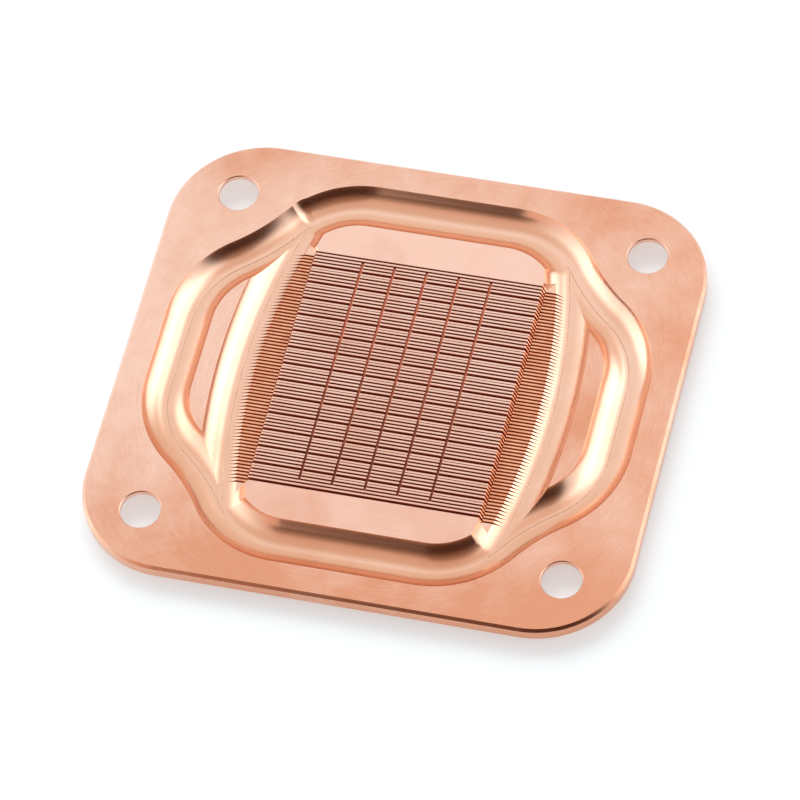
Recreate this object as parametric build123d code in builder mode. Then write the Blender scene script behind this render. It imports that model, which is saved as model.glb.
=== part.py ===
from build123d import *
import os
from math import hypot, sqrt, tan, radians

os.makedirs("parts", exist_ok=True)

# Base plate of a processor water block, one piece of copper: a flange with
# four screw holes, a contact pad below its middle, and on top a field of fins
# between ball-milled grooves. Lengths are in millimetres, angles in degrees.
# The origin is the middle of the pad's underside, and +Z points to the fins.

# Plate and flange
plate_width = 60.0
plate_length = 54.5
plate_corner_radius = 10.25
plate_thickness = 3.0
flange_thickness = 1.5
flange_chamfer = 0.3

# Contact pad
pad_wall = 1.0
pad_chamfer = 0.3

# Screw holes
hole_spacing_x = 45.9
hole_spacing_y = 41.0
hole_radius = 2.2
hole_chamfer = 0.2
countersink_depth = 0.9
countersink_angle = 90.0

# Grooves
ball_radius = 3.0
groove_depth = 1.5
outer_end_y = 21.4
outer_end_half_length = 7.8
outer_corner_radius = 9.05
outer_corner_turn = 55.5
outer_waist_radius = 23.8
outer_waist_turn = 18.0
outer_lobe_radius = 9.7
inner_groove_x = 17.1
inner_groove_radius = 70.0
inner_groove_depth = 1.48

# Ledges at both ends of the fins
ledge_depth = 1.1
ledge_x = 13.0
ledge_half_length = 14.9
ledge_tip_x = 13.75
ledge_tip_y = 15.95
ledge_wall_angle = 17.0

# Slits between the fins, and the fins that lean
slit_count = 70
slit_pitch = 0.4225
slit_width = 0.2
slit_depth = 1.45
slits_per_leaning_fin = 5
fin_lean = 0.12

# Heights and widths that follow
flange_z = plate_thickness - flange_thickness
groove_axis_z = plate_thickness - groove_depth + ball_radius
groove_half_width = sqrt(ball_radius**2 - (ball_radius - groove_depth) ** 2)
inner_axis_z = plate_thickness - inner_groove_depth + ball_radius
inner_groove_centre_x = inner_groove_x - inner_groove_radius
ledge_z = plate_thickness - ledge_depth
ledge_wall_run = ledge_depth * tan(radians(ledge_wall_angle))


def outer_groove_wire(height):
    """Closed centreline of the outer groove, four equal quarters."""
    with BuildLine() as line:
        end = Line((0, outer_end_y), (outer_end_half_length, outer_end_y))
        corner = JernArc(end @ 1, end % 1, outer_corner_radius, -outer_corner_turn)
        waist = JernArc(corner @ 1, corner % 1, outer_waist_radius, outer_waist_turn)
        lobe_turn = 90 - outer_corner_turn + outer_waist_turn
        lobe = JernArc(waist @ 1, waist % 1, outer_lobe_radius, -lobe_turn)
        Line(lobe @ 1, ((lobe @ 1).X, 0))
        mirror(about=Plane.YZ)
        mirror(about=Plane.XZ)
    return line.wire().moved(Location((0, 0, height)))


def inner_groove_end():
    """Point where the inner groove's arc meets the outer groove's corner arc."""
    centre_gap_x = outer_end_half_length - inner_groove_centre_x
    centre_gap_y = outer_end_y - outer_corner_radius
    gap = hypot(centre_gap_x, centre_gap_y)
    along = (inner_groove_radius**2 - outer_corner_radius**2 + gap**2) / (2 * gap)
    across = sqrt(inner_groove_radius**2 - along**2)
    x = inner_groove_centre_x + (along * centre_gap_x - across * centre_gap_y) / gap
    y = (along * centre_gap_y + across * centre_gap_x) / gap
    return x, y


def inner_groove_x_at(y):
    """Distance of the inner groove's centreline from the middle, at y."""
    return inner_groove_centre_x + sqrt(inner_groove_radius**2 - y**2)


def slit_y(number):
    """Middle of a slit, counted from 1 at the far side."""
    return ((slit_count + 1) / 2 - number) * slit_pitch


def fin_top_shift(number):
    """Shift of the fin on the near side of a slit, at its top."""
    return fin_lean if number % slits_per_leaning_fin == 0 else 0.0


def slit_profile(number):
    """Section of a slit between two tall fins, from the ledge's height up."""
    far = slit_y(number) + slit_width / 2
    near = slit_y(number) - slit_width / 2
    far_top = far - fin_top_shift(number - 1) * (number > 1)
    near_top = near - fin_top_shift(number)
    return [
        (far, ledge_z),
        (far_top, plate_thickness),
        (near_top, plate_thickness),
        (near, ledge_z),
    ]


with BuildPart() as cold_plate:
    # Flange, and the contact pad under it
    with BuildSketch(Plane.XY.offset(flange_z)):
        RectangleRounded(plate_width, plate_length, plate_corner_radius)
    extrude(amount=flange_thickness)
    chamfer(faces().sort_by(Axis.Z)[-1].edges(), flange_chamfer)
    with BuildSketch():
        make_face(outer_groove_wire(0))
        offset(amount=groove_half_width + pad_wall)
    extrude(amount=flange_z)
    chamfer(faces().sort_by(Axis.Z)[0].edges(), pad_chamfer)

    # Screw holes, countersunk from below
    with Locations(Location((0, 0, flange_z), (180, 0, 0))):
        with GridLocations(hole_spacing_x, hole_spacing_y, 2, 2):
            CounterSinkHole(
                hole_radius, hole_radius + countersink_depth, flange_thickness, countersink_angle
            )
    chamfer(edges(Select.LAST).group_by(Axis.Z)[-1], hole_chamfer)

    # Outer groove, one closed loop
    with BuildSketch(Plane((0, outer_end_y, groove_axis_z), z_dir=(1, 0, 0))):
        Circle(ball_radius)
    sweep(path=outer_groove_wire(groove_axis_z), mode=Mode.SUBTRACT)

    # Inner grooves, one on each side, running into the outer groove
    end_x, end_y = inner_groove_end()
    for side in (-1, 1):
        with BuildLine() as inner_line:
            Spline(
                (side * end_x, side * end_y, inner_axis_z),
                (side * inner_groove_x, 0, inner_axis_z),
                (side * end_x, -side * end_y, inner_axis_z),
            )
        with BuildSketch(Plane(inner_line.line @ 0, z_dir=inner_line.line % 0)):
            Circle(ball_radius)
        sweep(path=inner_line.wire(), mode=Mode.SUBTRACT)

    # Ledges, from a sloping step out to the inner grooves
    with BuildSketch(Plane.XY.offset(ledge_z)) as ledges:
        with BuildLine():
            step = Polyline(
                (ledge_tip_x, -ledge_tip_y),
                (ledge_x, -ledge_half_length),
                (ledge_x, ledge_half_length),
                (ledge_tip_x, ledge_tip_y),
            )
            groove_side = ThreePointArc(
                (inner_groove_x_at(ledge_tip_y), ledge_tip_y),
                (inner_groove_x, 0),
                (inner_groove_x_at(ledge_tip_y), -ledge_tip_y),
            )
            Line(step @ 1, groove_side @ 0)
            Line(groove_side @ 1, step @ 0)
        make_face()
        mirror(about=Plane.YZ)
    extrude(amount=ledge_depth, taper=-ledge_wall_angle, mode=Mode.SUBTRACT)

    # Slits: their lower part runs out over the ledges into the inner grooves
    with BuildSketch(Plane.XY.offset(plate_thickness - slit_depth)):
        for number in range(1, slit_count + 1):
            with Locations((0, slit_y(number))):
                Rectangle(2 * inner_groove_x_at(slit_y(number)), slit_width)
    extrude(amount=slit_depth - ledge_depth, mode=Mode.SUBTRACT)
    with BuildSketch(Plane.YZ):
        for number in range(1, slit_count + 1):
            Polygon(*slit_profile(number), align=None)
    extrude(amount=ledge_x + ledge_wall_run, both=True, mode=Mode.SUBTRACT)

cold_plate.part.label = "cold_plate"
export_step(cold_plate.part, "parts/cold_plate.step")
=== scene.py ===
"""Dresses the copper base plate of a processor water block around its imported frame.

The plate is modelled in millimetres with bmesh shapes, curves and Booleans, and
brought to metres at the end. The frame's axes hold: +Z points to the fins, and the
origin is the middle of the contact pad's underside.
"""

import logging
from dataclasses import dataclass, field
from enum import Enum
from math import asin, cos, hypot, pi, radians, sin, sqrt, tan
from typing import Iterable, Sequence

import bmesh
import bpy
from bmesh.types import BMEdge, BMesh, BMFace, BMVert
from bpy.types import Material, Node, NodeSocket, Object, World
from mathutils import Matrix, Vector


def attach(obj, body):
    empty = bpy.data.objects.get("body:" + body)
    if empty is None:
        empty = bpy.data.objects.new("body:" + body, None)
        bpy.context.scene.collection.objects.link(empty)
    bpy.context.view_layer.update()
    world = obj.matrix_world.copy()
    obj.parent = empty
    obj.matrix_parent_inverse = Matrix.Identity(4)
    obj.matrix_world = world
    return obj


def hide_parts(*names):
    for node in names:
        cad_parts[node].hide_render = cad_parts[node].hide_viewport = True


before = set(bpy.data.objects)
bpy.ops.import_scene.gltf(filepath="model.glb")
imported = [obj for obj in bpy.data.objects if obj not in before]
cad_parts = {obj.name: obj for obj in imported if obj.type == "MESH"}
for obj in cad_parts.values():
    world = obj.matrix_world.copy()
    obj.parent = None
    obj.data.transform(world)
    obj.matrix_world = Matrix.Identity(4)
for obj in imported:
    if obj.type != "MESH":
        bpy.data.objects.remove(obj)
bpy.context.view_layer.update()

log = logging.getLogger("base_plate")
Colour = tuple[float, float, float]

# A millimetre in metres, and the gap under which points are one, in millimetres
MM = 0.001
MERGE = 1e-4


class Cut(Enum):
    """How a tool piece acts on the plate."""

    AWAY = "DIFFERENCE"
    JOIN = "UNION"


# Shared mesh work


def add_object(name: str, data: bpy.types.ID) -> Object:
    """Adds an object to the scene.

    Args:
        name: Its name.
        data: Its mesh, curve, light or camera.

    Returns:
        The object.
    """
    made = bpy.data.objects.new(name, data)
    bpy.context.scene.collection.objects.link(made)
    return made


def object_from(name: str, bm: BMesh) -> Object:
    """Makes a scene object of a bmesh and frees the bmesh.

    Args:
        name: The new object's name.
        bm: The shape.

    Returns:
        The object, linked to the scene.
    """
    mesh = bpy.data.meshes.new(name)
    bm.to_mesh(mesh)
    bm.free()
    return add_object(name, mesh)


def work_on(target: Object, tools: Sequence[tuple[Object, Cut]]) -> None:
    """Applies Boolean tools to a piece in order, and removes the tools.

    Args:
        target: The piece that is worked on.
        tools: The tool objects, each with the way it acts.
    """
    for tool, cut in tools:
        boolean = target.modifiers.new(tool.name, "BOOLEAN")
        boolean.object = tool
        boolean.operation = cut.value
        boolean.solver = "EXACT"
        boolean.material_mode = "TRANSFER"
    depsgraph = bpy.context.evaluated_depsgraph_get()
    finished = bpy.data.meshes.new_from_object(target.evaluated_get(depsgraph))
    finished.name = target.name
    target.modifiers.clear()
    target.data = finished
    for tool, _ in tools:
        bpy.data.objects.remove(tool)


def add_block(
    bm: BMesh,
    low: Sequence[float],
    high: Sequence[float],
    top_shift: Sequence[float] = (0.0, 0.0),
) -> None:
    """Adds a box between two corners to a bmesh.

    Args:
        bm: The bmesh that gets the box.
        low: The lowest corner.
        high: The highest corner.
        top_shift: How far the top moves along Y at its low and at its high side.
    """
    size = [b - a for a, b in zip(low, high)]
    middle = [(a + b) / 2 for a, b in zip(low, high)]
    place = Matrix.Translation(middle) @ Matrix.Diagonal((*size, 1.0))
    corners = bmesh.ops.create_cube(bm, size=1.0, matrix=place)["verts"]
    for corner in corners:
        if corner.co.z > middle[2]:
            corner.co.y += top_shift[corner.co.y > middle[1]]


def verts_in(geometry: Iterable[object]) -> list[BMVert]:
    """The vertices among some geometry."""
    return [g for g in geometry if isinstance(g, BMVert)]


def extrude(bm: BMesh, faces: Sequence[BMFace], way: Sequence[float]) -> None:
    """Draws faces out, with walls behind them.

    Args:
        bm: The bmesh that they are in.
        faces: The faces.
        way: How far they go, in X, Y and Z.
    """
    drawn = bmesh.ops.extrude_face_region(bm, geom=faces)["geom"]
    bmesh.ops.translate(bm, verts=verts_in(drawn), vec=way)


def bevel(bm: BMesh, edges: Sequence[BMEdge], width: float, segments: int = 1) -> None:
    """Chamfers edges, or rounds them with more segments.

    Args:
        bm: The bmesh that they are in.
        edges: The edges.
        width: Width of the chamfer, or radius of the round.
        segments: Faces across it.
    """
    bmesh.ops.bevel(
        bm,
        geom=edges,
        offset=width,
        offset_type="OFFSET",
        affect="EDGES",
        segments=segments,
        profile=0.5,
        material=-1,
    )


def spin(bm: BMesh, points: Iterable[Sequence[float]], sweep: float, steps: int) -> None:
    """Spins a chain of points round Z.

    Args:
        bm: The bmesh that gets the surface.
        points: The chain.
        sweep: How far it turns, in degrees; a full turn closes.
        steps: Faces round the sweep.
    """
    corners = [bm.verts.new(point) for point in points]
    edges = [bm.edges.new(pair) for pair in zip(corners, corners[1:])]
    bmesh.ops.spin(
        bm,
        geom=corners + edges,
        cent=(0.0, 0.0, 0.0),
        axis=(0.0, 0.0, 1.0),
        angle=radians(sweep),
        steps=steps,
        use_merge=sweep == 360.0,
    )


# Paths that the grooves follow


@dataclass(frozen=True)
class Run:
    """One stretch of a path: straight where the turn is zero, and else an arc.

    Attributes:
        size: Length of a straight stretch, or radius of an arc.
        turn: Degrees to the left along an arc.
    """

    size: float
    turn: float = 0.0

    def handle(self) -> float:
        """Length of the Bezier handles that draw this stretch."""
        return 4 / 3 * tan(radians(abs(self.turn)) / 4) * self.size if self.turn else self.size / 3

    def offset(self, distance: float) -> "Run":
        """The same stretch of a parallel path.

        Args:
            distance: How far to the left that path runs.

        Returns:
            The stretch.
        """
        if not self.turn:
            return self
        return Run(self.size - distance * (1 if self.turn > 0 else -1), self.turn)


@dataclass
class Path:
    """A smooth flat path of runs.

    Attributes:
        start: First point, in X and Y.
        heading: Direction of travel there, in degrees from +X.
        runs: Its stretches in order.
        closed: Whether the last stretch ends at the first point.
    """

    start: tuple[float, float]
    heading: float
    runs: Sequence[Run]
    closed: bool = False

    def knots(self) -> list[tuple[Vector, Vector, float, float]]:
        """Points between the runs.

        Returns:
            For each, its place, its direction and its two handle lengths.
        """
        place = Vector(self.start)
        angle = radians(self.heading)
        before = self.runs[-1].handle() if self.closed else self.runs[0].handle()
        found = []
        for run in self.runs:
            along = Vector((cos(angle), sin(angle)))
            found.append((place.copy(), along, before, run.handle()))
            if run.turn:
                side = 1 if run.turn > 0 else -1
                centre = place + side * run.size * Vector((-sin(angle), cos(angle)))
                angle += radians(run.turn)
                place = centre - side * run.size * Vector((-sin(angle), cos(angle)))
            else:
                place += along * run.size
            before = run.handle()
        if not self.closed:
            found.append((place, Vector((cos(angle), sin(angle))), before, before))
        return found

    def end(self) -> Vector:
        """Place where an open path ends."""
        return self.knots()[-1][0]

    def offset(self, distance: float) -> "Path":
        """A parallel path.

        Args:
            distance: How far to the left it runs.

        Returns:
            The path.
        """
        angle = radians(self.heading)
        start = (self.start[0] - distance * sin(angle), self.start[1] + distance * cos(angle))
        return Path(start, self.heading, [run.offset(distance) for run in self.runs], self.closed)

    def curve(self, name: str, height: float, steps: int) -> Object:
        """Draws the path as a Bezier curve.

        Args:
            name: The curve's name.
            height: Its place on Z.
            steps: Points that each run gets when the curve becomes a mesh.

        Returns:
            The curve object, linked to the scene.
        """
        data = bpy.data.curves.new(name, "CURVE")
        data.dimensions = "3D"
        data.twist_mode = "Z_UP"
        data.resolution_u = steps
        knots = self.knots()
        spline = data.splines.new("BEZIER")
        spline.bezier_points.add(len(knots) - 1)
        spline.use_cyclic_u = self.closed
        for point, (place, along, before, after) in zip(spline.bezier_points, knots):
            point.handle_left_type = point.handle_right_type = "FREE"
            point.co = (*place, height)
            point.handle_left = (*(place - along * before), height)
            point.handle_right = (*(place + along * after), height)
        return add_object(name, data)

    def tube(self, name: str, height: float, radius: float, rings: int, steps: int) -> Object:
        """A round bar along the path, as a mesh.

        Args:
            name: The bar's name.
            height: Its axis on Z.
            radius: Its radius.
            rings: Points round its section beyond four, in pairs.
            steps: Rings that each run gets.

        Returns:
            The bar, closed at its ends.
        """
        drawn = self.curve(name, height, steps)
        drawn.data.bevel_depth = radius
        drawn.data.bevel_resolution = rings
        drawn.data.use_fill_caps = not self.closed
        made = as_mesh(drawn)
        bm = bmesh.new()
        bm.from_mesh(made.data)
        bmesh.ops.remove_doubles(bm, verts=bm.verts, dist=radius * MERGE)
        bmesh.ops.recalc_face_normals(bm, faces=bm.faces)
        bm.to_mesh(made.data)
        bm.free()
        return made


def as_mesh(drawn: Object) -> Object:
    """Turns a curve object into a mesh object.

    Args:
        drawn: The curve, which is removed.

    Returns:
        The mesh object, of the same name.
    """
    depsgraph = bpy.context.evaluated_depsgraph_get()
    mesh = bpy.data.meshes.new_from_object(drawn.evaluated_get(depsgraph))
    name = drawn.name
    bpy.data.objects.remove(drawn)
    return add_object(name, mesh)


# Finishes


class NodeBench:
    """Adds nodes to a material or world and joins them."""

    def __init__(self, owner: Material | World) -> None:
        """Empties the owner's node tree.

        Args:
            owner: What the nodes are for.
        """
        owner.use_nodes = True
        self.tree = owner.node_tree
        self.tree.nodes.clear()

    def add(self, kind: str, settings: dict | None = None, **inputs: object) -> Node:
        """Adds one node.

        Args:
            kind: The shader node's type, such as Math.
            settings: Values of the node's own properties.
            **inputs: Values or sockets for its inputs, with _ for a space.

        Returns:
            The node.
        """
        node = self.tree.nodes.new(f"ShaderNode{kind}")
        for name, value in (settings or {}).items():
            setattr(node, name, value)
        for name, value in inputs.items():
            socket = self.socket(node, name)
            if isinstance(value, NodeSocket):
                self.tree.links.new(value, socket)
            else:
                socket.default_value = value
        return node

    @staticmethod
    def socket(node: Node, name: str) -> NodeSocket:
        """An input of a node.

        Args:
            node: The node.
            name: Its name, or its number as in i0.

        Returns:
            The input.
        """
        if name[0] == "i" and name[1:].isdigit():
            return node.inputs[int(name[1:])]
        return node.inputs[name.replace("_", " ")]

    def maths(self, operation: str, *values: object) -> NodeSocket:
        """The result of a Math node on one, two or three values."""
        inputs = {f"i{i}": value for i, value in enumerate(values)}
        return self.add("Math", {"operation": operation}, **inputs).outputs[0]

    def blend(self, factor: object, one: object, other: object) -> NodeSocket:
        """Colour between two others."""
        node = self.add("Mix", {"data_type": "RGBA"}, i0=factor, i6=one, i7=other)
        return node.outputs[2]


@dataclass(frozen=True)
class CopperFinish:
    """Copper as one way of working leaves it.

    Attributes:
        name: The material's name.
        fresh: Colour where it is clean and not darkened, linear.
        stained_and_shaded: Colour where it has been stained, and where painted shade darkens it.
        roughness: Its lowest and highest roughness.
        metallic: Share of bare metal; the rest is dull with tarnish.
        stain_size: Rough size of the staining blotches, in millimetres.
        stain_and_shade_edge: Lower and upper level of noise plus painted shade between fresh and
            stained_and_shaded.
        stain_and_shade_drift: Direction in X, Y and Z in which the colour darkens, per millimetre;
            painted shade on the rolled, milled, groove and slit finishes.
        bow: Further darkening toward the far and the near side, per square millimetre.
        seed: Which pattern of staining it gets.
        patches: Further staining, or cleaner spots where negative: X, Y, radius and amount.
        streak_size: Length and width of the fine streaks, in millimetres.
        ring_radius: Radius at which streaks in rings round the plate's middle have that
            length; 0 where they run straight along X.
        grain_size: Rough size of the fine grain, in millimetres.
        contrast: Strength of the streaks and grain in its colour.
        relief: Depth of the streaks and grain, in millimetres.
        edge_radius: Rounding of the edges, in millimetres.
        wear: Levels of staining, painted shade and streak at its lowest and highest roughness.
    """

    name: str
    fresh: Colour
    stained_and_shaded: Colour
    roughness: tuple[float, float] = (0.12, 0.24)
    metallic: float = 1.0
    stain_size: float = 7.0
    stain_and_shade_edge: tuple[float, float] = (0.38, 0.66)
    stain_and_shade_drift: tuple[float, float, float] = (0.0, 0.0, 0.0)
    bow: float = 0.0
    seed: float = 0.0
    patches: tuple[tuple[float, float, float, float], ...] = ()
    streak_size: tuple[float, float] = (3.0, 0.15)
    ring_radius: float = 0.0
    grain_size: float = 0.12
    contrast: float = 0.3
    relief: float = 0.0012
    edge_radius: float = 0.05
    wear: tuple[float, float] = (0.15, 0.85)

    def streaks(self, bench: NodeBench, place: NodeSocket) -> NodeSocket:
        """Noise drawn out along the working direction, straight or in rings.

        Args:
            bench: Where the nodes are added.
            place: The point on the plate.

        Returns:
            The noise, from 0 to 1.
        """
        if self.ring_radius:
            parts = bench.add("SeparateXYZ", Vector=place).outputs
            angle = bench.maths("ARCTAN2", parts["Y"], parts["X"])
            run = bench.maths("MULTIPLY", angle, self.ring_radius * MM)
            flat = bench.add("CombineXYZ", X=parts["X"], Y=parts["Y"])
            gap = bench.add("VectorMath", {"operation": "LENGTH"}, i0=flat.outputs[0])
            around = bench.add("CombineXYZ", X=run, Y=gap.outputs["Value"], Z=parts["Z"])
            place = around.outputs[0]
        length, width = self.streak_size
        drawn = bench.add("Mapping", Vector=place, Scale=(width / length, 1.0, 1.0))
        return bench.add("TexNoise", Vector=drawn.outputs[0], Scale=1 / (width * MM),
                         Detail=3.0).outputs["Fac"]

    def stains_and_painted_shade(self, bench: NodeBench, place: NodeSocket) -> NodeSocket:
        """Staining blotches and patches, with painted shade along stain_and_shade_drift and the bow.

        Args:
            bench: Where the nodes are added.
            place: The point on the plate.

        Returns:
            Share of staining and painted shade, from 0 to 1.
        """
        noise = bench.add("TexNoise", {"noise_dimensions": "4D"}, Vector=place, W=self.seed,
                          Scale=1 / (self.stain_size * MM), Detail=6.0, Roughness=0.62,
                          Distortion=0.6).outputs["Fac"]
        slope = bench.add("VectorMath", {"operation": "DOT_PRODUCT"}, i0=place,
                          i1=[part / MM for part in self.stain_and_shade_drift]).outputs["Value"]
        across = bench.add("SeparateXYZ", Vector=place).outputs["Y"]
        bow = bench.maths("MULTIPLY", bench.maths("MULTIPLY", across, across), self.bow / MM**2)
        low, high = self.stain_and_shade_edge
        total = bench.maths("ADD", bench.maths("ADD", noise, slope), bow)
        flat = bench.add("VectorMath", {"operation": "MULTIPLY"}, i0=place, i1=(1.0, 1.0, 0.0))
        for x, y, radius, amount in self.patches:
            gap = bench.add("VectorMath", {"operation": "DISTANCE"}, i0=flat.outputs[0],
                            i1=(x * MM, y * MM, 0.0)).outputs["Value"]
            patch = bench.add("MapRange", {"interpolation_type": "SMOOTHSTEP"}, i0=gap,
                              i1=radius * MM, i2=0.0, i3=0.0, i4=amount).outputs[0]
            total = bench.maths("ADD", total, patch)
        return bench.add("MapRange", i0=total, i1=low, i2=high).outputs[0]

    def material(self) -> Material:
        """Builds the finish's node tree.

        Returns:
            The new material.
        """
        made = bpy.data.materials.new(self.name)
        bench = NodeBench(made)
        place = bench.add("TexCoord").outputs["Object"]
        # Staining blotches mixed with painted shade gradients.
        stain_and_shade = self.stains_and_painted_shade(bench, place)
        streak = self.streaks(bench, place)
        grain = bench.add("TexNoise", Vector=place, Scale=1 / (self.grain_size * MM),
                          Detail=4.0).outputs["Fac"]
        texture = bench.maths("SUBTRACT", bench.maths("ADD", streak, grain), 1.0)
        mark = bench.maths("MULTIPLY", texture, self.contrast)
        tone = bench.blend(bench.maths("ADD", stain_and_shade, mark), (*self.fresh, 1.0), (*self.stained_and_shaded, 1.0))
        low, high = self.roughness
        worn = bench.maths("ADD", bench.maths("MULTIPLY", streak, 0.5),
                           bench.maths("MULTIPLY", stain_and_shade, 0.5))
        rough = bench.add("MapRange", i0=worn, i1=self.wear[0], i2=self.wear[1], i3=low, i4=high)
        height = bench.maths("ADD", streak, bench.maths("MULTIPLY", grain, 0.5))
        round_edges = bench.add("Bevel", {"samples": 4}, Radius=self.edge_radius * MM)
        bump = bench.add("Bump", Strength=1.0, Distance=self.relief * MM, Height=height,
                         Normal=round_edges.outputs[0])
        shader = bench.add("BsdfPrincipled", Base_Color=tone, Metallic=self.metallic,
                           Roughness=rough.outputs[0], Normal=bump.outputs[0])
        bench.add("OutputMaterial", Surface=shader.outputs[0])
        return made


class Finish(Enum):
    """The finishes of the plate's surfaces."""

    # Painted shade: stain_and_shade_drift darkens the flange toward the right and the near side,
    # standing in for a darker reflection there; the noise and patches are staining.
    ROLLED = CopperFinish("rolled_copper", (0.97, 0.65, 0.52), (0.78, 0.36, 0.22), (0.16, 0.30),
                          stain_size=5.0, stain_and_shade_edge=(0.236, 1.036), stain_and_shade_drift=(0.0077, -0.0063, 0.0),
                          bow=0.00035,
                          patches=((-21.0, 25.5, 8.0, 0.36), (-13.0, 25.6, 5.0, 0.15),
                                   (15.5, 25.8, 6.0, 0.28), (28.0, 9.5, 6.0, 0.24),
                                   (-11.0, -25.5, 9.5, 0.4), (-20.0, -24.0, 7.0, 0.2),
                                   (-26.0, -21.5, 6.0, 0.2), (21.5, -1.0, 7.0, 0.38),
                                   (20.0, -17.5, 5.5, -0.24), (28.0, -13.0, 6.5, -0.26),
                                   (-26.0, 22.0, 6.0, 0.2), (-28.5, 10.5, 5.5, 0.12),
                                   (-19.5, -16.5, 5.0, 0.12), (28.5, -2.0, 5.0, 0.14)),
                          streak_size=(3.0, 0.25), ring_radius=30.0, contrast=0.42, relief=0.0006)
    # Painted shade: stain_and_shade_drift darkens the plateau slightly toward the right and the near
    # side.
    MILLED_TOP = CopperFinish("milled_copper", (0.97, 0.65, 0.53), (0.84, 0.44, 0.31), (0.14, 0.24),
                              stain_and_shade_edge=(0.36, 0.96), stain_and_shade_drift=(0.001, -0.006, 0.0),
                              patches=((-8.0, -18.0, 8.0, 0.22),), streak_size=(6.0, 0.15),
                              relief=0.0005, edge_radius=0.02)
    # Painted shade: stain_and_shade_drift darkens the grooves toward the near side, standing in for a
    # darker reflection there.
    GROOVE = CopperFinish("ball_milled_copper", (0.92, 0.59, 0.44), (0.84, 0.485, 0.33), (0.18, 0.24),
                          stain_and_shade_edge=(0.38, 0.86), stain_and_shade_drift=(0.0, -0.009, 0.0), streak_size=(1.2, 0.2),
                          relief=0.0008, edge_radius=0.03)
    STEP = CopperFinish("step_copper", (0.95, 0.66, 0.52), (0.90, 0.55, 0.40), (0.25, 0.35),
                        stain_size=2.0, edge_radius=0.02)
    LEDGE = CopperFinish("ledge_copper", (0.97, 0.51, 0.32), (0.85, 0.38, 0.21), (0.32, 0.45),
                         stain_size=2.0, edge_radius=0.02)
    # Painted shade: stain_and_shade_drift with stain_and_shade_edge darkens the slits with depth,
    # reaching stained_and_shaded about a quarter millimetre below the fins' tops.
    SLIT = CopperFinish("slit_copper", (0.80, 0.21, 0.09), (0.47, 0.10, 0.045), (0.5, 0.6), 0.6,
                        stain_size=1.0, stain_and_shade_edge=(-11.5, -10.6), stain_and_shade_drift=(0.0, 0.0, -4.0),
                        edge_radius=0.01)
    CROSS_CUT = CopperFinish("cut_copper", (0.60, 0.19, 0.10), (0.27, 0.07, 0.035), (0.5, 0.6), 0.7,
                             stain_size=2.0, stain_and_shade_edge=(0.3, 0.7), stain_and_shade_drift=(0.0, -0.02, 0.0),
                             edge_radius=0.01)
    SEAM = CopperFinish("seam_copper", (0.75, 0.50, 0.38), (0.64, 0.40, 0.29), (0.4, 0.5),
                        stain_size=1.0, edge_radius=0.01)
    DRILLED = CopperFinish("drilled_copper", (0.94, 0.62, 0.50), (0.86, 0.50, 0.37), (0.25, 0.35))
    LAPPED = CopperFinish("lapped_copper", (0.95, 0.63, 0.49), (0.88, 0.52, 0.38), (0.10, 0.18),
                          stain_and_shade_drift=(0.001, 0.001, 0.0), streak_size=(8.0, 0.08), contrast=0.12,
                          relief=0.0004)

    def dress(self, piece: Object) -> Object:
        """Gives a piece this finish, made once.

        Args:
            piece: A mesh object.

        Returns:
            The same object.
        """
        finish: CopperFinish = self.value
        material = bpy.data.materials.get(finish.name) or finish.material()
        piece.data.materials.append(material)
        return piece


# The plate


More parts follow.
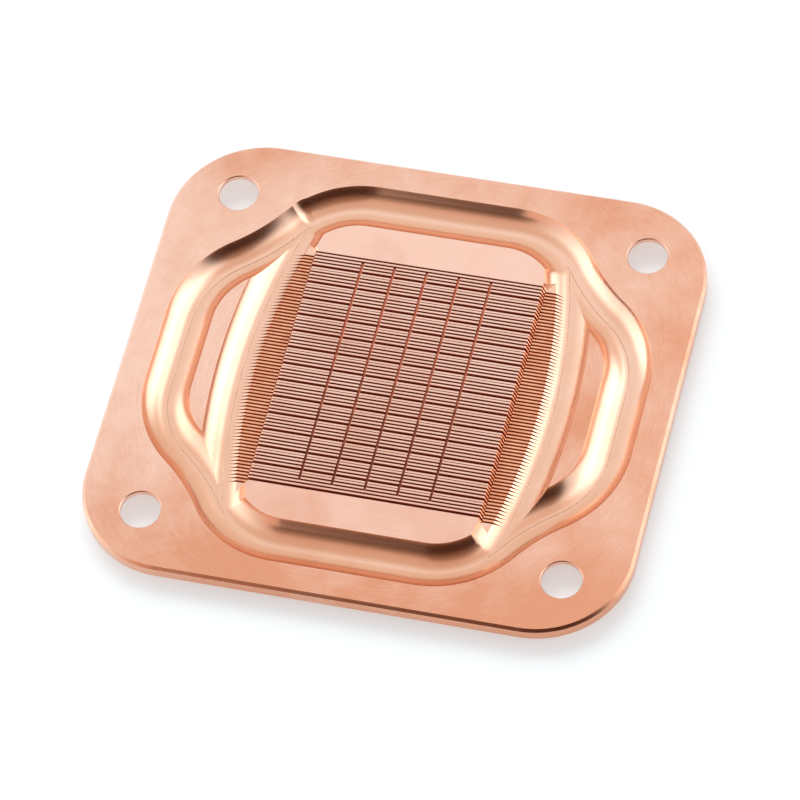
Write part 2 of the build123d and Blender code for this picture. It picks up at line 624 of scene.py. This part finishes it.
@dataclass
class Flange:
    """Rounded plate with four countersunk screw holes, in millimetres.

    Attributes:
        width: Its size along X.
        length: Its size along Y.
        top: Its upper face on Z.
        thickness: Distance between its two faces.
        corner_radius: Rounding of its outline.
        corner_segments: Faces round each corner.
        chamfer: Width of the chamfer round its upper face.
        hole_spacing: Distance of the screw holes along X and Y.
        hole_radius: Their radius.
        hole_chamfer: Width of the chamfer at their upper rim.
        countersink_depth: Depth of the cone at their lower end.
        hole_segments: Faces round each hole.
        clear: How far the tools reach past the plate.
    """

    width: float = 60.0
    length: float = 54.5
    top: float = 3.0
    thickness: float = 1.5
    corner_radius: float = 10.25
    corner_segments: int = 24
    chamfer: float = 0.3
    hole_spacing: tuple[float, float] = (45.9, 41.0)
    hole_radius: float = 2.2
    hole_chamfer: float = 0.09
    countersink_depth: float = 0.9
    hole_segments: int = 64
    clear: float = 1.0

    def plate(self) -> Object:
        """Makes the plate without its holes.

        Returns:
            The piece that the tools then cut.
        """
        bm = bmesh.new()
        low = (-self.width / 2, -self.length / 2, self.top - self.thickness)
        add_block(bm, low, (self.width / 2, self.length / 2, self.top))
        upright = [e for e in bm.edges if abs((e.verts[0].co - e.verts[1].co).z) > self.thickness / 2]
        bevel(bm, upright, self.corner_radius, self.corner_segments)
        rim = [e for e in bm.edges if min(v.co.z for v in e.verts) > self.top - self.thickness / 2]
        bevel(bm, rim, self.chamfer)
        return Finish.ROLLED.dress(object_from("fin_plate", bm))

    def hole_tool(self) -> Object:
        """Makes the four bodies of revolution that cut the screw holes.

        Returns:
            One tool for all four.
        """
        over = self.top + self.clear
        bottom = self.top - self.thickness
        wide = self.hole_radius + self.countersink_depth
        profile = [
            (0.0, 0.0, over),
            (self.hole_radius + self.hole_chamfer + self.clear, 0.0, over),
            (self.hole_radius, 0.0, self.top - self.hole_chamfer),
            (self.hole_radius, 0.0, bottom + self.countersink_depth),
            (wide + self.clear, 0.0, bottom - self.clear),
            (0.0, 0.0, bottom - self.clear),
        ]
        bm = bmesh.new()
        spin(bm, profile, 360.0, self.hole_segments)
        bmesh.ops.remove_doubles(bm, verts=bm.verts, dist=MERGE)
        one = bm.verts[:] + bm.edges[:] + bm.faces[:]
        half_x, half_y = (spacing / 2 for spacing in self.hole_spacing)
        for x in (-half_x, half_x):
            for y in (-half_y, half_y):
                copy = bmesh.ops.duplicate(bm, geom=one)["geom"]
                bmesh.ops.translate(bm, verts=verts_in(copy), vec=(x, y, 0.0))
        bmesh.ops.delete(bm, geom=verts_in(one), context="VERTS")
        bmesh.ops.recalc_face_normals(bm, faces=bm.faces)
        return Finish.DRILLED.dress(object_from("holes", bm))


@dataclass
class Grooves:
    """Ball-milled grooves: a closed outer loop and an inner one on each side.

    Attributes:
        top: The plate's upper face on Z.
        ball_radius: Radius of the ball mill.
        depth: Depth of the outer groove.
        inner_depth: Depth of the inner grooves.
        end_y: Place on Y of the outer centreline's straight ends.
        end_half_length: Half of their length.
        corner: Its arc from each straight end.
        waist: The arc after it, which turns the other way.
        lobe: The arc that leads to its straight side.
        inner_x: Place on X of the inner centrelines, at their middle.
        inner_radius: Their radius.
        seam_radius: Radius of the fine line along each groove's bottom.
        seam_width: Its width.
        seam_start: Share of a corner before the line shows.
        dwell_marks: Where the mill halted in the far left corner: degrees round it,
            and how far outward it swung.
        section_points: Points round a milling bar, as Path.tube counts them.
        seam_points: The same round a line.
        ball_segments: Faces round the ball.
        steps: Rings that each run of a bar gets.
    """

    top: float = 3.0
    ball_radius: float = 3.0
    depth: float = 1.5
    inner_depth: float = 1.48
    end_y: float = 21.4
    end_half_length: float = 7.8
    corner: Run = Run(9.05, -55.5)
    waist: Run = Run(23.8, 18.0)
    lobe: Run = Run(9.7, -52.5)
    inner_x: float = 17.1
    inner_radius: float = 70.0
    seam_radius: float = 0.09
    seam_width: float = 0.12
    seam_start: float = 0.85
    dwell_marks: tuple[tuple[float, float], ...] = ((45.0, 0.12), (25.0, 0.012))
    section_points: int = 44
    seam_points: int = 4
    ball_segments: int = 144
    steps: int = 20

    def loop(self) -> Path:
        """Draws the outer groove's centreline.

        Returns:
            The closed path, clockwise from the far end's left.
        """
        quarter = [self.corner, self.waist, self.lobe]
        start = (-self.end_half_length, self.end_y)
        far = Run(2 * self.end_half_length)
        side = Run(2 * Path(start, 0.0, [far, *quarter]).end().y)
        half = [far, *quarter, side, *reversed(quarter)]
        return Path(start, 0.0, half * 2, closed=True)

    def half_width(self) -> float:
        """Half of a groove's width at the plate's top."""
        return sqrt(self.ball_radius**2 - (self.ball_radius - self.depth) ** 2)

    def inner_end(self) -> Vector:
        """Works out where the right inner groove meets the outer groove's corner.

        Returns:
            That point, in X and Y.
        """
        gap_x = self.end_half_length - (self.inner_x - self.inner_radius)
        gap_y = self.end_y - self.corner.size
        gap = hypot(gap_x, gap_y)
        along = (self.inner_radius**2 - self.corner.size**2 + gap**2) / (2 * gap)
        across = sqrt(self.inner_radius**2 - along**2)
        x = self.inner_x - self.inner_radius + (along * gap_x - across * gap_y) / gap
        return Vector((x, (along * gap_y + across * gap_x) / gap))

    def inner_x_at(self, y: float) -> float:
        """Distance of the inner groove's centreline from the middle, at y."""
        return self.inner_x - self.inner_radius + sqrt(self.inner_radius**2 - y**2)

    def inner(self, side: int) -> Path:
        """Draws an inner groove's centreline.

        Args:
            side: -1 for the left groove, 1 for the right one.

        Returns:
            The path, from the near end on the right and from the far end on the left.
        """
        end = self.inner_end()
        half_turn = asin(end.y / self.inner_radius) * 180 / pi
        arc = [Run(self.inner_radius, half_turn)] * 2
        heading = 90 - half_turn if side > 0 else 270 - half_turn
        return Path((side * end.x, -side * end.y), heading, arc)

    def side_seam(self, side: int) -> Path:
        """Draws the stretch of the outer groove where the seam at its bottom shows.

        Args:
            side: -1 for the stretch round the left side, 1 for the right one.

        Returns:
            The path.
        """
        turn = 180.0 if side < 0 else 0.0
        start = (side * self.end_half_length, side * self.end_y)
        hidden = Run(self.corner.size, self.corner.turn * self.seam_start)
        shown = Run(self.corner.size, self.corner.turn - hidden.turn)
        first = Path(start, turn, [hidden]).end()
        quarter = [self.corner, self.waist, self.lobe]
        straight = Run(2 * side * Path(start, turn, quarter).end().y)
        half = [shown, self.waist, self.lobe]
        return Path(tuple(first), turn + hidden.turn, [*half, straight, *reversed(half)])

    def dwell_tool(self, turn: float, swing: float) -> Object:
        """Makes the ball mill where it halted in the far left corner.

        Args:
            turn: How far round the corner it halted, in degrees.
            swing: How far it swung outward there.

        Returns:
            The ball.
        """
        start = Vector((-self.end_half_length, self.end_y))
        centre = start - Vector((0.0, self.corner.size))
        halt = Path(tuple(start), 180.0, [Run(self.corner.size, turn)]).end()
        halt += (halt - centre).normalized() * swing
        place = Matrix.Translation((*halt, self.top - self.depth + self.ball_radius))
        bm = bmesh.new()
        bmesh.ops.create_uvsphere(bm, u_segments=self.ball_segments, v_segments=self.ball_segments // 2,
                                  radius=self.ball_radius, matrix=place)
        return Finish.GROOVE.dress(object_from("dwell", bm))

    def tools(self) -> list[tuple[Object, Cut]]:
        """Makes the bars that mill the grooves, and the fine lines along their bottoms.

        Returns:
            The tools in order.
        """
        inner = self.top - self.inner_depth
        outer = self.top - self.depth
        grooves = [(self.loop(), outer), (self.inner(-1), inner), (self.inner(1), inner)]
        seams = [(self.side_seam(-1), outer), (self.side_seam(1), outer), *grooves[1:]]
        ball = self.ball_radius
        lift = sqrt(self.seam_radius**2 - (self.seam_width / 2) ** 2)
        made = []
        for number, (path, floor) in enumerate(grooves):
            bar = path.tube(f"groove_{number}", floor + ball, ball, self.section_points, self.steps)
            made.append((Finish.GROOVE.dress(bar), Cut.AWAY))
        made += [(self.dwell_tool(*mark), Cut.AWAY) for mark in self.dwell_marks]
        for number, (path, floor) in enumerate(seams):
            line = path.tube(f"seam_{number}", floor + lift, self.seam_radius,
                             self.seam_points, self.steps)
            made.append((Finish.SEAM.dress(line), Cut.AWAY))
        return made


@dataclass
class Fins:
    """Field of fins: ledges at their ends, slits between them and fine cross cuts.

    Attributes:
        grooves: The grooves that the slits run out into.
        top: The fins' tops on Z.
        ledge_depth: How far below them the ledges lie.
        ledge_x: Where the ledges start on X.
        ledge_half_length: Half of the length of that edge.
        ledge_tip: Where the slanting stretch past that edge ends, in X and Y.
        left_wall: Stretches of the step behind the left ledge, from below: the rise of
            each, and its slope in degrees from upright.
        right_wall: The same at the right.
        slit_count: Number of slits.
        slit_pitch: Distance from slit to slit.
        slit_width: Their width.
        slit_depth: Their depth, to the point of their bottom.
        slit_point: Height of the pointed part.
        slits_per_leaning_fin: How many slits there are for each fin that leans.
        fin_lean: How far its top leans toward the near side.
        cut_count: Number of cross cuts.
        cut_spacing: Distance from cut to cut.
        cut_shift: Place of the middle cut on X.
        cut_width: Their width.
        cut_depth: Their depth.
        burr: Height of the burr under them, which fills the slits.
        uncut_slits: Slits past the cuts' far and near ends.
        arc_points: Points along each ledge's side at the groove.
        clear: How far the tools reach past the plate.
        overlap: How far they reach into each other.
        step_in: How much each side of a slit steps in below the ledges.
    """

    grooves: Grooves
    top: float = 3.0
    ledge_depth: float = 1.1
    ledge_x: float = 13.0
    ledge_half_length: float = 14.9
    ledge_tip: tuple[float, float] = (13.75, 15.95)
    left_wall: tuple[tuple[float, float], ...] = ((0.96, 17.0), (0.08, 38.0), (0.06, 60.0))
    right_wall: tuple[tuple[float, float], ...] = ((1.06, 17.0), (0.04, 36.0))
    slit_count: int = 70
    slit_pitch: float = 0.4225
    slit_width: float = 0.206
    slit_depth: float = 1.45
    slit_point: float = 0.3
    slits_per_leaning_fin: int = 5
    fin_lean: float = 0.12
    cut_count: int = 5
    cut_spacing: float = 3.58
    cut_shift: float = -0.07
    cut_width: float = 0.28
    cut_depth: float = 0.3
    burr: float = 0.08
    uncut_slits: tuple[int, int] = (1, 2)
    arc_points: int = 24
    clear: float = 0.5
    overlap: float = 0.01
    step_in: float = 0.003

    def slit_y(self, number: int) -> float:
        """Middle of a slit, counted from 1 at the far side."""
        return ((self.slit_count + 1) / 2 - number) * self.slit_pitch

    def lean_beside(self, number: int) -> float:
        """Shift at its top of the fin on the near side of a slit."""
        leans = number > 0 and number % self.slits_per_leaning_fin == 0
        return self.fin_lean if leans else 0.0

    def wall_run(self) -> float:
        """How far the sloping step at the left leans out over its height."""
        return sum(rise * tan(radians(angle)) for rise, angle in self.left_wall)

    def ledge_tool(self) -> Object:
        """Makes two blocks with sloping walls that leave the ledges.

        Returns:
            One tool for both.
        """
        bm = bmesh.new()
        tip_x, tip_y = self.ledge_tip
        for side, wall in ((-1, self.left_wall), (1, self.right_wall)):
            outline = [
                (tip_x, -tip_y),
                (self.ledge_x, -self.ledge_half_length),
                (self.ledge_x, self.ledge_half_length),
                (tip_x, tip_y),
            ]
            sloping = len(outline)
            for step in range(self.arc_points + 1):
                y = tip_y * (1 - 2 * step / self.arc_points)
                outline.append((self.grooves.inner_x_at(y), y))
            height = self.top - self.ledge_depth
            ring = [bm.verts.new((side * x, y, height)) for x, y in outline]
            bm.faces.new(ring)
            for rise, angle in (*wall, (self.clear, 0.0)):
                height += rise
                above = [bm.verts.new((*corner.co.xy, height)) for corner in ring]
                for corner in above[:sloping]:
                    corner.co.x -= side * rise * tan(radians(angle))
                for number in range(len(ring)):
                    pair = (number - 1, number)
                    bm.faces.new([ring[i] for i in pair] + [above[i] for i in reversed(pair)])
                ring = above
            bm.faces.new(ring)
        bmesh.ops.recalc_face_normals(bm, faces=bm.faces)
        return Finish.LEDGE.dress(object_from("ledges", bm))

    def low_slit_tool(self) -> Object:
        """Makes the slits' lower part, pointed below, which runs out over the ledges.

        Returns:
            One tool for all slits.
        """
        bm = bmesh.new()
        half = self.slit_width / 2 - self.step_in
        point = self.top - self.slit_depth
        shoulder = point + self.slit_point
        roof = self.top - self.ledge_depth + self.overlap
        for number in range(1, self.slit_count + 1):
            y = self.slit_y(number)
            reach = self.grooves.inner_x_at(y)
            low, high = y - half, y + half
            section = [(low, roof), (low, shoulder), (y, point), (high, shoulder), (high, roof)]
            end = bm.faces.new([bm.verts.new((-reach, *corner)) for corner in section])
            extrude(bm, [end], (2 * reach, 0.0, 0.0))
        bmesh.ops.recalc_face_normals(bm, faces=bm.faces)
        return Finish.SLIT.dress(object_from("slits_low", bm))

    def high_slit_tool(self) -> Object:
        """Makes the slits' upper part, whose sides lean with the fins.

        Returns:
            One tool for all slits.
        """
        bm = bmesh.new()
        half = self.slit_width / 2
        floor = self.top - self.ledge_depth - 2 * self.overlap
        roof = self.top + self.clear
        reach = self.ledge_x + self.wall_run() + self.clear
        stretch = (self.ledge_depth + self.clear) / self.ledge_depth
        for number in range(1, self.slit_count + 1):
            y = self.slit_y(number)
            near = -self.lean_beside(number) * stretch
            far = -self.lean_beside(number - 1) * stretch
            add_block(bm, (-reach, y - half, floor), (reach, y + half, roof), (near, far))
        return Finish.SLIT.dress(object_from("slits_high", bm))

    def cross_cut_tools(self) -> list[tuple[Object, Cut]]:
        """Makes fine cuts across all but the outermost fins, and their burr in the slits.

        Returns:
            The tools in order.
        """
        far = self.slit_y(1 + self.uncut_slits[0])
        near = self.slit_y(self.slit_count - self.uncut_slits[1])
        floor = self.top - self.cut_depth
        cuts, burrs = bmesh.new(), bmesh.new()
        for number in range(self.cut_count):
            x = self.cut_shift + (number - (self.cut_count - 1) / 2) * self.cut_spacing
            low, high = x - self.cut_width / 2, x + self.cut_width / 2
            add_block(cuts, (low, near, floor), (high, far, self.top + self.clear))
            add_block(burrs, (low - self.overlap, near, floor - self.burr),
                      (high + self.overlap, far, floor))
        finish = Finish.CROSS_CUT
        return [
            (finish.dress(object_from("burrs", burrs)), Cut.JOIN),
            (finish.dress(object_from("cross_cuts", cuts)), Cut.AWAY),
        ]


@dataclass
class ContactPad:
    """Raised pad on the underside that sits on the processor.

    Attributes:
        grooves: The grooves whose outer loop it follows.
        flange_z: The flange's lower face on Z.
        wall: Metal beside the groove's rim.
        chamfer: Width of the chamfer round its lower face.
        overlap: How far it reaches into the flange.
        steps: Points that each run of its outline gets.
    """

    grooves: Grooves
    flange_z: float = 1.5
    wall: float = 1.0
    chamfer: float = 0.3
    overlap: float = 0.5
    steps: int = 10

    def block(self) -> Object:
        """Makes the pad, which reaches a little into the flange.

        Returns:
            The block that is joined to the flange.
        """
        outline = self.grooves.loop().offset(self.grooves.half_width() + self.wall)
        line = as_mesh(outline.curve("contact_pad", 0.0, self.steps))
        bm = bmesh.new()
        bm.from_mesh(line.data)
        bpy.data.objects.remove(line)
        bmesh.ops.remove_doubles(bm, verts=bm.verts, dist=MERGE)
        bmesh.ops.contextual_create(bm, geom=bm.edges[:])
        extrude(bm, bm.faces[:], (0.0, 0.0, self.flange_z + self.overlap))
        bmesh.ops.recalc_face_normals(bm, faces=bm.faces)
        rim = [e for e in bm.edges if max(v.co.z for v in e.verts) < MERGE]
        bevel(bm, rim, self.chamfer)
        return Finish.LAPPED.dress(object_from("contact_pad", bm))


@dataclass
class BasePlate:
    """The whole base plate, one piece of copper.

    Attributes:
        flange: The flange with its holes.
        grooves: The grooves on its top.
        sharp_angle: Angle between faces from which their edge is sharp, in degrees.
        milled_reach: How far the plateau's milled top reaches on X.
        pocket_start: Distance on Y past which a ledge's floor is finished as its step is.
        level_part: Least part of a level face's normal along Z.
        top_band: How far below the top a point may lie and still count as on it.
    """

    flange: Flange = field(default_factory=Flange)
    grooves: Grooves = field(default_factory=Grooves)
    sharp_angle: float = 24.0
    milled_reach: float = 14.0
    pocket_start: float = 14.6
    level_part: float = 0.9
    top_band: float = 1e-3

    def finish_faces(self, plate: Object, bm: BMesh) -> None:
        """Gives the plateau and the sloping steps finishes of their own.

        Args:
            plate: The plate, which gets the materials.
            bm: Its shape, in metres.
        """
        names = [material.name for material in plate.data.materials]
        ledge = names.index(Finish.LEDGE.value.name)
        milled = len(names)
        Finish.MILLED_TOP.dress(plate)
        Finish.STEP.dress(plate)
        for face in bm.faces:
            face.smooth = True
            inside = max(abs(v.co.x) for v in face.verts) < self.milled_reach * MM
            if inside and min(v.co.z for v in face.verts) > (self.flange.top - self.top_band) * MM:
                face.material_index = milled
            elif face.material_index == ledge:
                pocket = min(abs(v.co.y) for v in face.verts) > self.pocket_start * MM
                if pocket or face.normal.z < self.level_part:
                    face.material_index = milled + 1

    def build(self) -> Object:
        """Cuts the plate from its blank.

        Returns:
            The finished piece, in metres at the origin.
        """
        fins = Fins(self.grooves)
        plate = self.flange.plate()
        tools = [(ContactPad(self.grooves).block(), Cut.JOIN)]
        tools += self.grooves.tools()
        for tool in (
            self.flange.hole_tool(),
            fins.ledge_tool(),
            fins.low_slit_tool(),
            fins.high_slit_tool(),
        ):
            tools.append((tool, Cut.AWAY))
        tools += fins.cross_cut_tools()
        work_on(plate, tools)
        bm = bmesh.new()
        bm.from_mesh(plate.data)
        bmesh.ops.remove_doubles(bm, verts=bm.verts, dist=MERGE)
        bmesh.ops.dissolve_degenerate(bm, edges=bm.edges, dist=MERGE)
        bmesh.ops.scale(bm, verts=bm.verts, vec=(MM, MM, MM))
        self.finish_faces(plate, bm)
        for edge in bm.edges:
            edge.smooth = edge.is_manifold and edge.calc_face_angle() < radians(self.sharp_angle)
        bm.to_mesh(plate.data)
        open_edges = sum(not e.is_manifold for e in bm.edges)
        log.info("fin_plate: %d faces, %d open edges", len(bm.faces), open_edges)
        bm.free()
        return plate


# Stage, light and camera


def white_rays(bench: NodeBench) -> NodeSocket:
    """Tells rays that see the backdrop from those that light things.

    Args:
        bench: Where the nodes are added.

    Returns:
        One for camera, glossy and transmission rays, and zero for others.
    """
    rays = bench.add("LightPath").outputs
    seen = bench.maths("MAXIMUM", rays["Is Camera Ray"], rays["Is Glossy Ray"])
    return bench.maths("MAXIMUM", seen, rays["Is Transmission Ray"])


@dataclass(frozen=True)
class Lamp:
    """A soft box that faces the plate.

    Attributes:
        name: The lamp's name.
        azimuth: Its direction from the plate, in degrees from -Y toward +X.
        elevation: Its height over the floor, in degrees.
        distance: Its distance from the plate, in metres.
        size: Its width and height, in metres.
        power: Its power, in watts.
    """

    name: str
    azimuth: float
    elevation: float
    distance: float
    size: tuple[float, float]
    power: float

    def build(self) -> Object:
        """Adds the lamp to the scene.

        Returns:
            The lamp.
        """
        data = bpy.data.lights.new(self.name, "AREA")
        data.shape = "RECTANGLE"
        data.size, data.size_y = self.size
        data.energy = self.power
        made = add_object(self.name, data)
        made.visible_glossy = False
        toward = direction(self.azimuth, self.elevation)
        made.location = toward * self.distance
        made.rotation_mode = "QUATERNION"
        made.rotation_quaternion = toward.to_track_quat("Z", "Y")
        return made


@dataclass(frozen=True)
class Card:
    """A patch of a dome round the plate, with soft edges, which shows in its reflections alone.

    Attributes:
        name: The card's name.
        azimuths: Its left and right edge, in degrees, where it is half faded.
        elevations: Its lower and upper edge, the same way.
        fades: Widths over which the left, right, lower and upper edge fade.
        stops: Elevations with the colour that it shows there, linear.
        level: Brightness that the colours are multiplied by.
        radius: The dome's radius, in metres.
        segments: Faces along each of its sides.
    """

    name: str
    azimuths: tuple[float, float]
    elevations: tuple[float, float]
    fades: tuple[float, float, float, float]
    stops: tuple[tuple[float, Colour], ...]
    level: float = 1.0
    radius: float = 0.42
    segments: int = 32

    def patch(self) -> Object:
        """Makes the card's shape.

        Returns:
            The patch of the dome.
        """
        left, right, low, high = self.fades
        start = self.azimuths[0] - left / 2
        sweep = min(self.azimuths[1] + right / 2 - start, 360.0)
        foot = self.elevations[0] - low / 2
        head = min(self.elevations[1] + high / 2, 90.0)
        angles = [foot + (head - foot) * i / self.segments for i in range(self.segments + 1)]
        bm = bmesh.new()
        spin(bm, [direction(start, angle) * self.radius for angle in angles], sweep, self.segments)
        return object_from(self.name, bm)

    def finish(self) -> Material:
        """Makes the glow, which fades out at the card's edges.

        Returns:
            The new material.
        """
        made = bpy.data.materials.new(self.name)
        bench = NodeBench(made)
        middle = sum(self.azimuths) / 2
        half = (self.azimuths[1] - self.azimuths[0]) / 2
        place = bench.add("TexCoord").outputs["Object"]
        turned = bench.add("VectorRotate", {"rotation_type": "Z_AXIS"}, Vector=place,
                           Angle=-radians(middle))
        parts = bench.add("SeparateXYZ", Vector=turned.outputs[0]).outputs
        azimuth = bench.maths("ARCTAN2", parts["X"], bench.maths("MULTIPLY", parts["Y"], -1.0))
        elevation = bench.maths("ARCSINE", bench.maths("DIVIDE", parts["Z"], self.radius))
        left, right, low, high = self.fades
        edges = (
            (azimuth, -half, left),
            (bench.maths("MULTIPLY", azimuth, -1.0), -half, right),
            (elevation, self.elevations[0], low),
            (bench.maths("MULTIPLY", elevation, -1.0), -self.elevations[1], high),
        )
        share = 1.0
        for angle, edge, fade in edges:
            step = bench.add("MapRange", {"interpolation_type": "SMOOTHSTEP"}, i0=angle,
                             i1=radians(edge - fade / 2), i2=radians(edge + fade / 2))
            share = bench.maths("MULTIPLY", step.outputs[0], share)
        rise = bench.maths("DIVIDE", elevation, radians(90.0))
        ramp = bench.add("ValToRGB", Fac=rise)
        for stop in range(2, len(self.stops)):
            ramp.color_ramp.elements.new(stop / len(self.stops))
        for element, (angle, colour) in zip(ramp.color_ramp.elements, self.stops):
            element.position = angle / 90.0
            element.color = (*colour, 1.0)
        glow = bench.add("Emission", Color=ramp.outputs["Color"], Strength=self.level)
        clear = bench.add("BsdfTransparent")
        both = bench.add("MixShader", i0=share, i1=clear.outputs[0], i2=glow.outputs[0])
        bench.add("OutputMaterial", Surface=both.outputs[0])
        return made

    def build(self) -> Object:
        """Adds the card to the scene.

        Returns:
            The card.
        """
        made = self.patch()
        made.data.materials.append(self.finish())
        made.visible_camera = False
        made.visible_shadow = False
        made.visible_diffuse = False
        return made


def direction(azimuth: float, elevation: float) -> Vector:
    """Unit vector from the plate: azimuth 0 is toward -Y and 90 toward +X."""
    a, e = radians(azimuth), radians(elevation)
    return Vector((sin(a) * cos(e), -cos(a) * cos(e), sin(e)))


@dataclass(frozen=True)
class Studio:
    """Pale floor, white surround, soft lamps, and cards that the metal reflects.

    Attributes:
        floor_size: Length of the floor's sides, in metres.
        floor_colour: Its paint, linear.
        floor_glow: What is added to it where it is seen or reflected.
        surround: Strength of the surround's light; where it is seen it is white.
        lamps: The soft boxes.
        cards: The cards, from the outermost inward.
    """

    floor_size: float = 4.0
    floor_colour: Colour = (0.615, 0.665, 0.685)
    floor_glow: float = 0.425
    surround: float = 0.60
    lamps: tuple[Lamp, ...] = (
        Lamp("lamp_left", -100.0, 30.0, 2.0, (1.3, 1.3), 4.0),
        Lamp("lamp_back", -155.0, 55.0, 2.0, (1.6, 1.3), 18.0),
    )
    cards: tuple[Card, ...] = (
        Card("card_top", (-181.0, 181.0), (70.0, 95.0), (1.0, 1.0, 20.0, 1.0),
             ((60.0, (0.82, 0.68, 0.59)), (86.0, (0.75, 0.57, 0.47))), radius=0.50),
        Card("card_back", (152.0, 218.0), (-8.0, 50.0), (14.0, 30.0, 4.0, 14.0),
             ((0.0, (0.88, 0.75, 0.65)), (36.0, (0.92, 0.82, 0.74))), radius=0.49),
        Card("card_left_top", (-118.0, -28.0), (54.0, 76.0), (16.0, 20.0, 10.0, 10.0),
             ((54.0, (0.95, 0.84, 0.76)), (70.0, (0.80, 0.64, 0.53))), radius=0.485),
        Card("card_left_front", (-46.0, -17.0), (-8.0, 74.0), (40.0, 4.0, 4.0, 30.0),
             ((0.0, (0.90, 0.62, 0.48)), (60.0, (0.76, 0.51, 0.41))), radius=0.48),
        Card("card_half_dark", (-31.0, -13.0), (33.0, 58.0), (5.0, 4.0, 6.0, 10.0),
             ((34.0, (0.22, 0.14, 0.095)), (54.0, (0.44, 0.32, 0.24))), radius=0.475),
        Card("card_dark", (-16.5, 72.0), (-8.0, 78.0), (5.0, 14.0, 4.0, 20.0),
             ((0.0, (0.26, 0.13, 0.08)), (8.0, (0.09, 0.04, 0.024)), (34.0, (0.055, 0.022, 0.013)),
              (43.0, (0.11, 0.05, 0.03)), (50.0, (0.19, 0.10, 0.06)), (60.0, (0.31, 0.175, 0.11)),
              (72.0, (0.43, 0.28, 0.195)), (86.0, (0.63, 0.47, 0.38))), radius=0.47),
        Card("softbox_left", (-114.0, -77.0), (-10.0, 44.0), (20.0, 50.0, 6.0, 20.0),
             ((0.0, (1.0, 1.0, 1.0)), (50.0, (1.0, 1.0, 1.0))), 2.15, radius=0.46),
        Card("softbox_right", (96.0, 143.0), (-2.0, 65.0), (34.0, 24.0, 24.0, 20.0),
             ((5.0, (0.60, 0.60, 0.60)), (30.0, (1.0, 1.0, 1.0))), 2.5, radius=0.45),
        Card("softbox_back", (118.0, 172.0), (49.0, 68.0), (18.0, 20.0, 14.0, 12.0),
             ((40.0, (1.0, 1.0, 1.0)), (70.0, (1.0, 1.0, 1.0))), 2.05, radius=0.44),
    )

    def floor(self) -> Object:
        """Lays the floor that takes the shadow.

        Returns:
            The floor.
        """
        bm = bmesh.new()
        bmesh.ops.create_grid(bm, x_segments=8, y_segments=8, size=self.floor_size / 2)
        made = object_from("floor", bm)
        finish = bpy.data.materials.new("floor")
        bench = NodeBench(finish)
        paint = bench.add("BsdfDiffuse", Color=(*self.floor_colour, 1.0))
        glow = bench.add("Emission", Color=(1.0, 1.0, 1.0, 1.0),
                         Strength=bench.maths("MULTIPLY", white_rays(bench), self.floor_glow))
        both = bench.add("AddShader", i0=paint.outputs[0], i1=glow.outputs[0])
        bench.add("OutputMaterial", Surface=both.outputs[0])
        made.data.materials.append(finish)
        return made

    def world(self) -> None:
        """White where it is seen, and a plain grey light elsewhere."""
        world = bpy.data.worlds.new("surround")
        bpy.context.scene.world = world
        bench = NodeBench(world)
        level = bench.add("MapRange", Value=white_rays(bench), i3=self.surround, i4=1.0)
        backdrop = bench.add("Background", Color=(1.0, 1.0, 1.0, 1.0),
                             Strength=level.outputs[0])
        bench.add("OutputWorld", Surface=backdrop.outputs[0])

    def build(self) -> None:
        """Sets up everything round the plate."""
        self.world()
        self.floor()
        for thing in (*self.lamps, *self.cards):
            thing.build()
            log.info("%s placed", thing.name)


@dataclass(frozen=True)
class PhotoCamera:
    """Camera at the photograph's viewing angle, in millimetres and degrees.

    Attributes:
        target: The point at the picture's middle.
        distance: Distance from it.
        azimuth: Direction from it, from -Y toward +X.
        elevation: Height over the floor.
        roll: Turn about the line of sight.
        lens: Focal length.
    """

    target: tuple[float, float, float] = (0.966, -2.181, 3.0)
    distance: float = 604.878
    azimuth: float = 22.638
    elevation: float = 57.571
    roll: float = -10.238
    lens: float = 255.4

    def build(self) -> Object:
        """Adds the camera and makes it the scene's own.

        Returns:
            The camera.
        """
        data = bpy.data.cameras.new("camera")
        data.lens = self.lens
        data.sensor_width = 36.0
        data.clip_start, data.clip_end = 0.05, 10.0
        made = add_object("camera", data)
        back = direction(self.azimuth, self.elevation)
        made.location = (Vector(self.target) + back * self.distance) * MM
        level = (-back).to_track_quat("-Z", "Y").to_matrix()
        turned = level @ Matrix.Rotation(radians(self.roll), 3, "Z")
        made.rotation_mode = "QUATERNION"
        made.rotation_quaternion = turned.to_quaternion()
        bpy.context.scene.camera = made
        return made


def main() -> None:
    """Builds the plate, its finish and the studio."""
    logging.basicConfig(level=logging.INFO, format="%(name)s: %(message)s")
    bpy.context.scene.view_settings.view_transform = "Standard"
    plate = BasePlate().build()
    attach(plate, "root")
    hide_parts("cold_plate")
    Studio().build()
    PhotoCamera().build()


if __name__ == "__main__":
    main()
